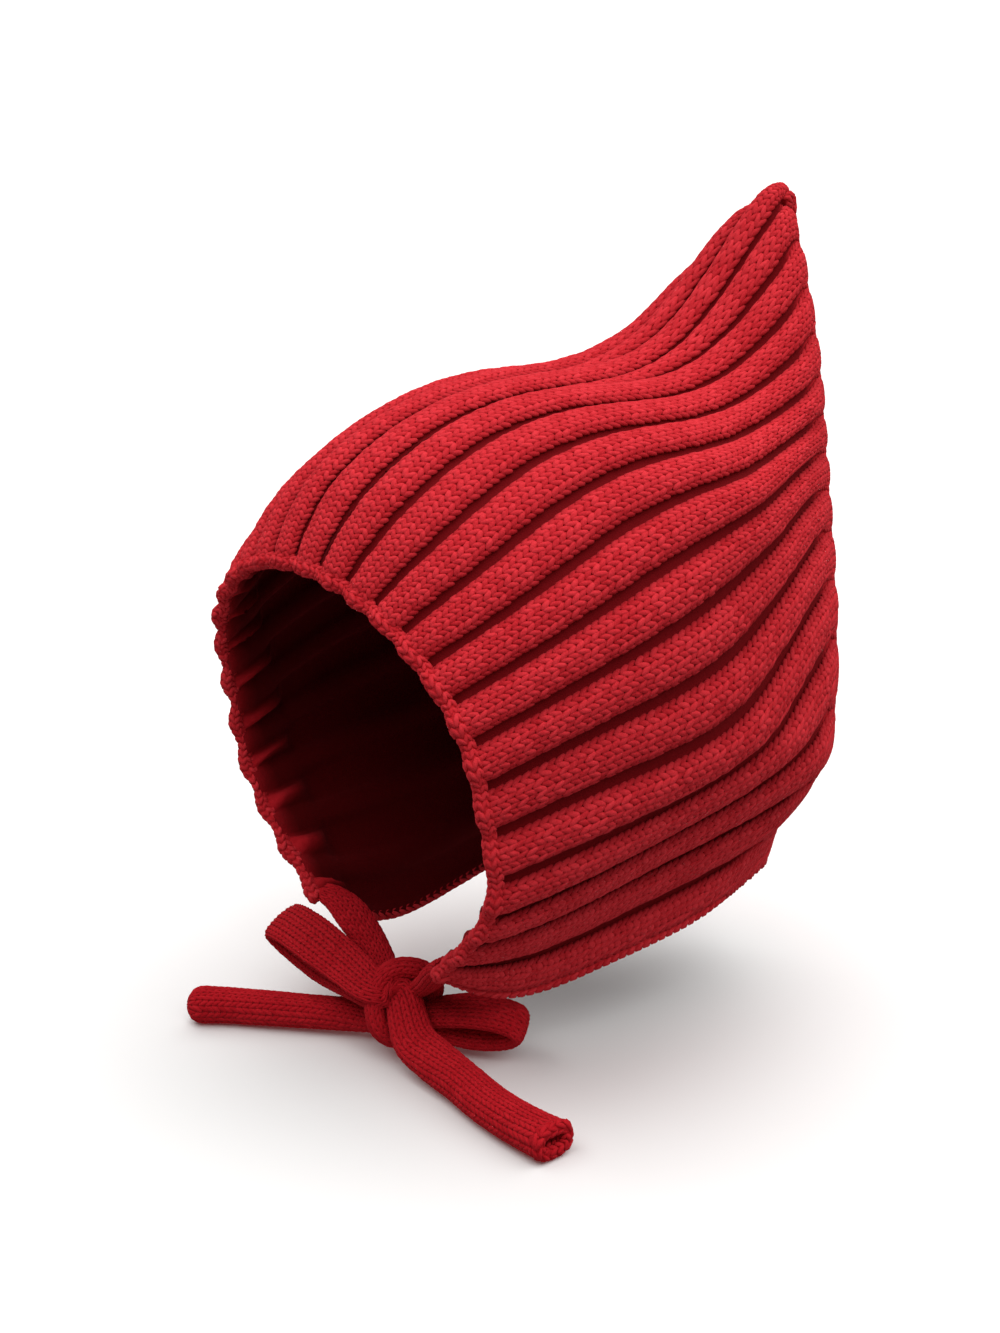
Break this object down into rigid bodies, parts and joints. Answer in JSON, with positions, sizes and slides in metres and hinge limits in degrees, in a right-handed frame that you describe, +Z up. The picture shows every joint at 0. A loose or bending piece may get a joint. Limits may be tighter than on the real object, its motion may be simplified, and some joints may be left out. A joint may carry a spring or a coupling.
{
  "type": "pixie bonnet",
  "caption": "Ribbed knitted baby bonnet with a pointed peak at the back and knitted chin ties fastened in a bow.",
  "frame": {"origin": "the middle of the head that the bonnet sits on, between the face opening and the back seam", "axes": "+Z up, the face opening towards -Y, the wearer's left on +X"},
  "size_m": [0.1532, 0.1778, 0.2265],
  "materials": {
    "ribbed_knit": "matt red wool, wide knitted ribs",
    "cast_on_edge": "matt red wool, chain-like cast-on edge",
    "tie_knit": "matt red wool, small knitted tube"
  },
  "bodies": {
    "root": {"hood": "ribbed_knit", "face_edging": "cast_on_edge", "bow_knot": "tie_knit", "tie_strap_left": "tie_knit", "tie_strap_right": "tie_knit", "bow_loop_left": "tie_knit", "bow_loop_right": "tie_knit", "tie_tail_left": "tie_knit", "tie_tail_right": "tie_knit"}
  },
  "joints": []
}
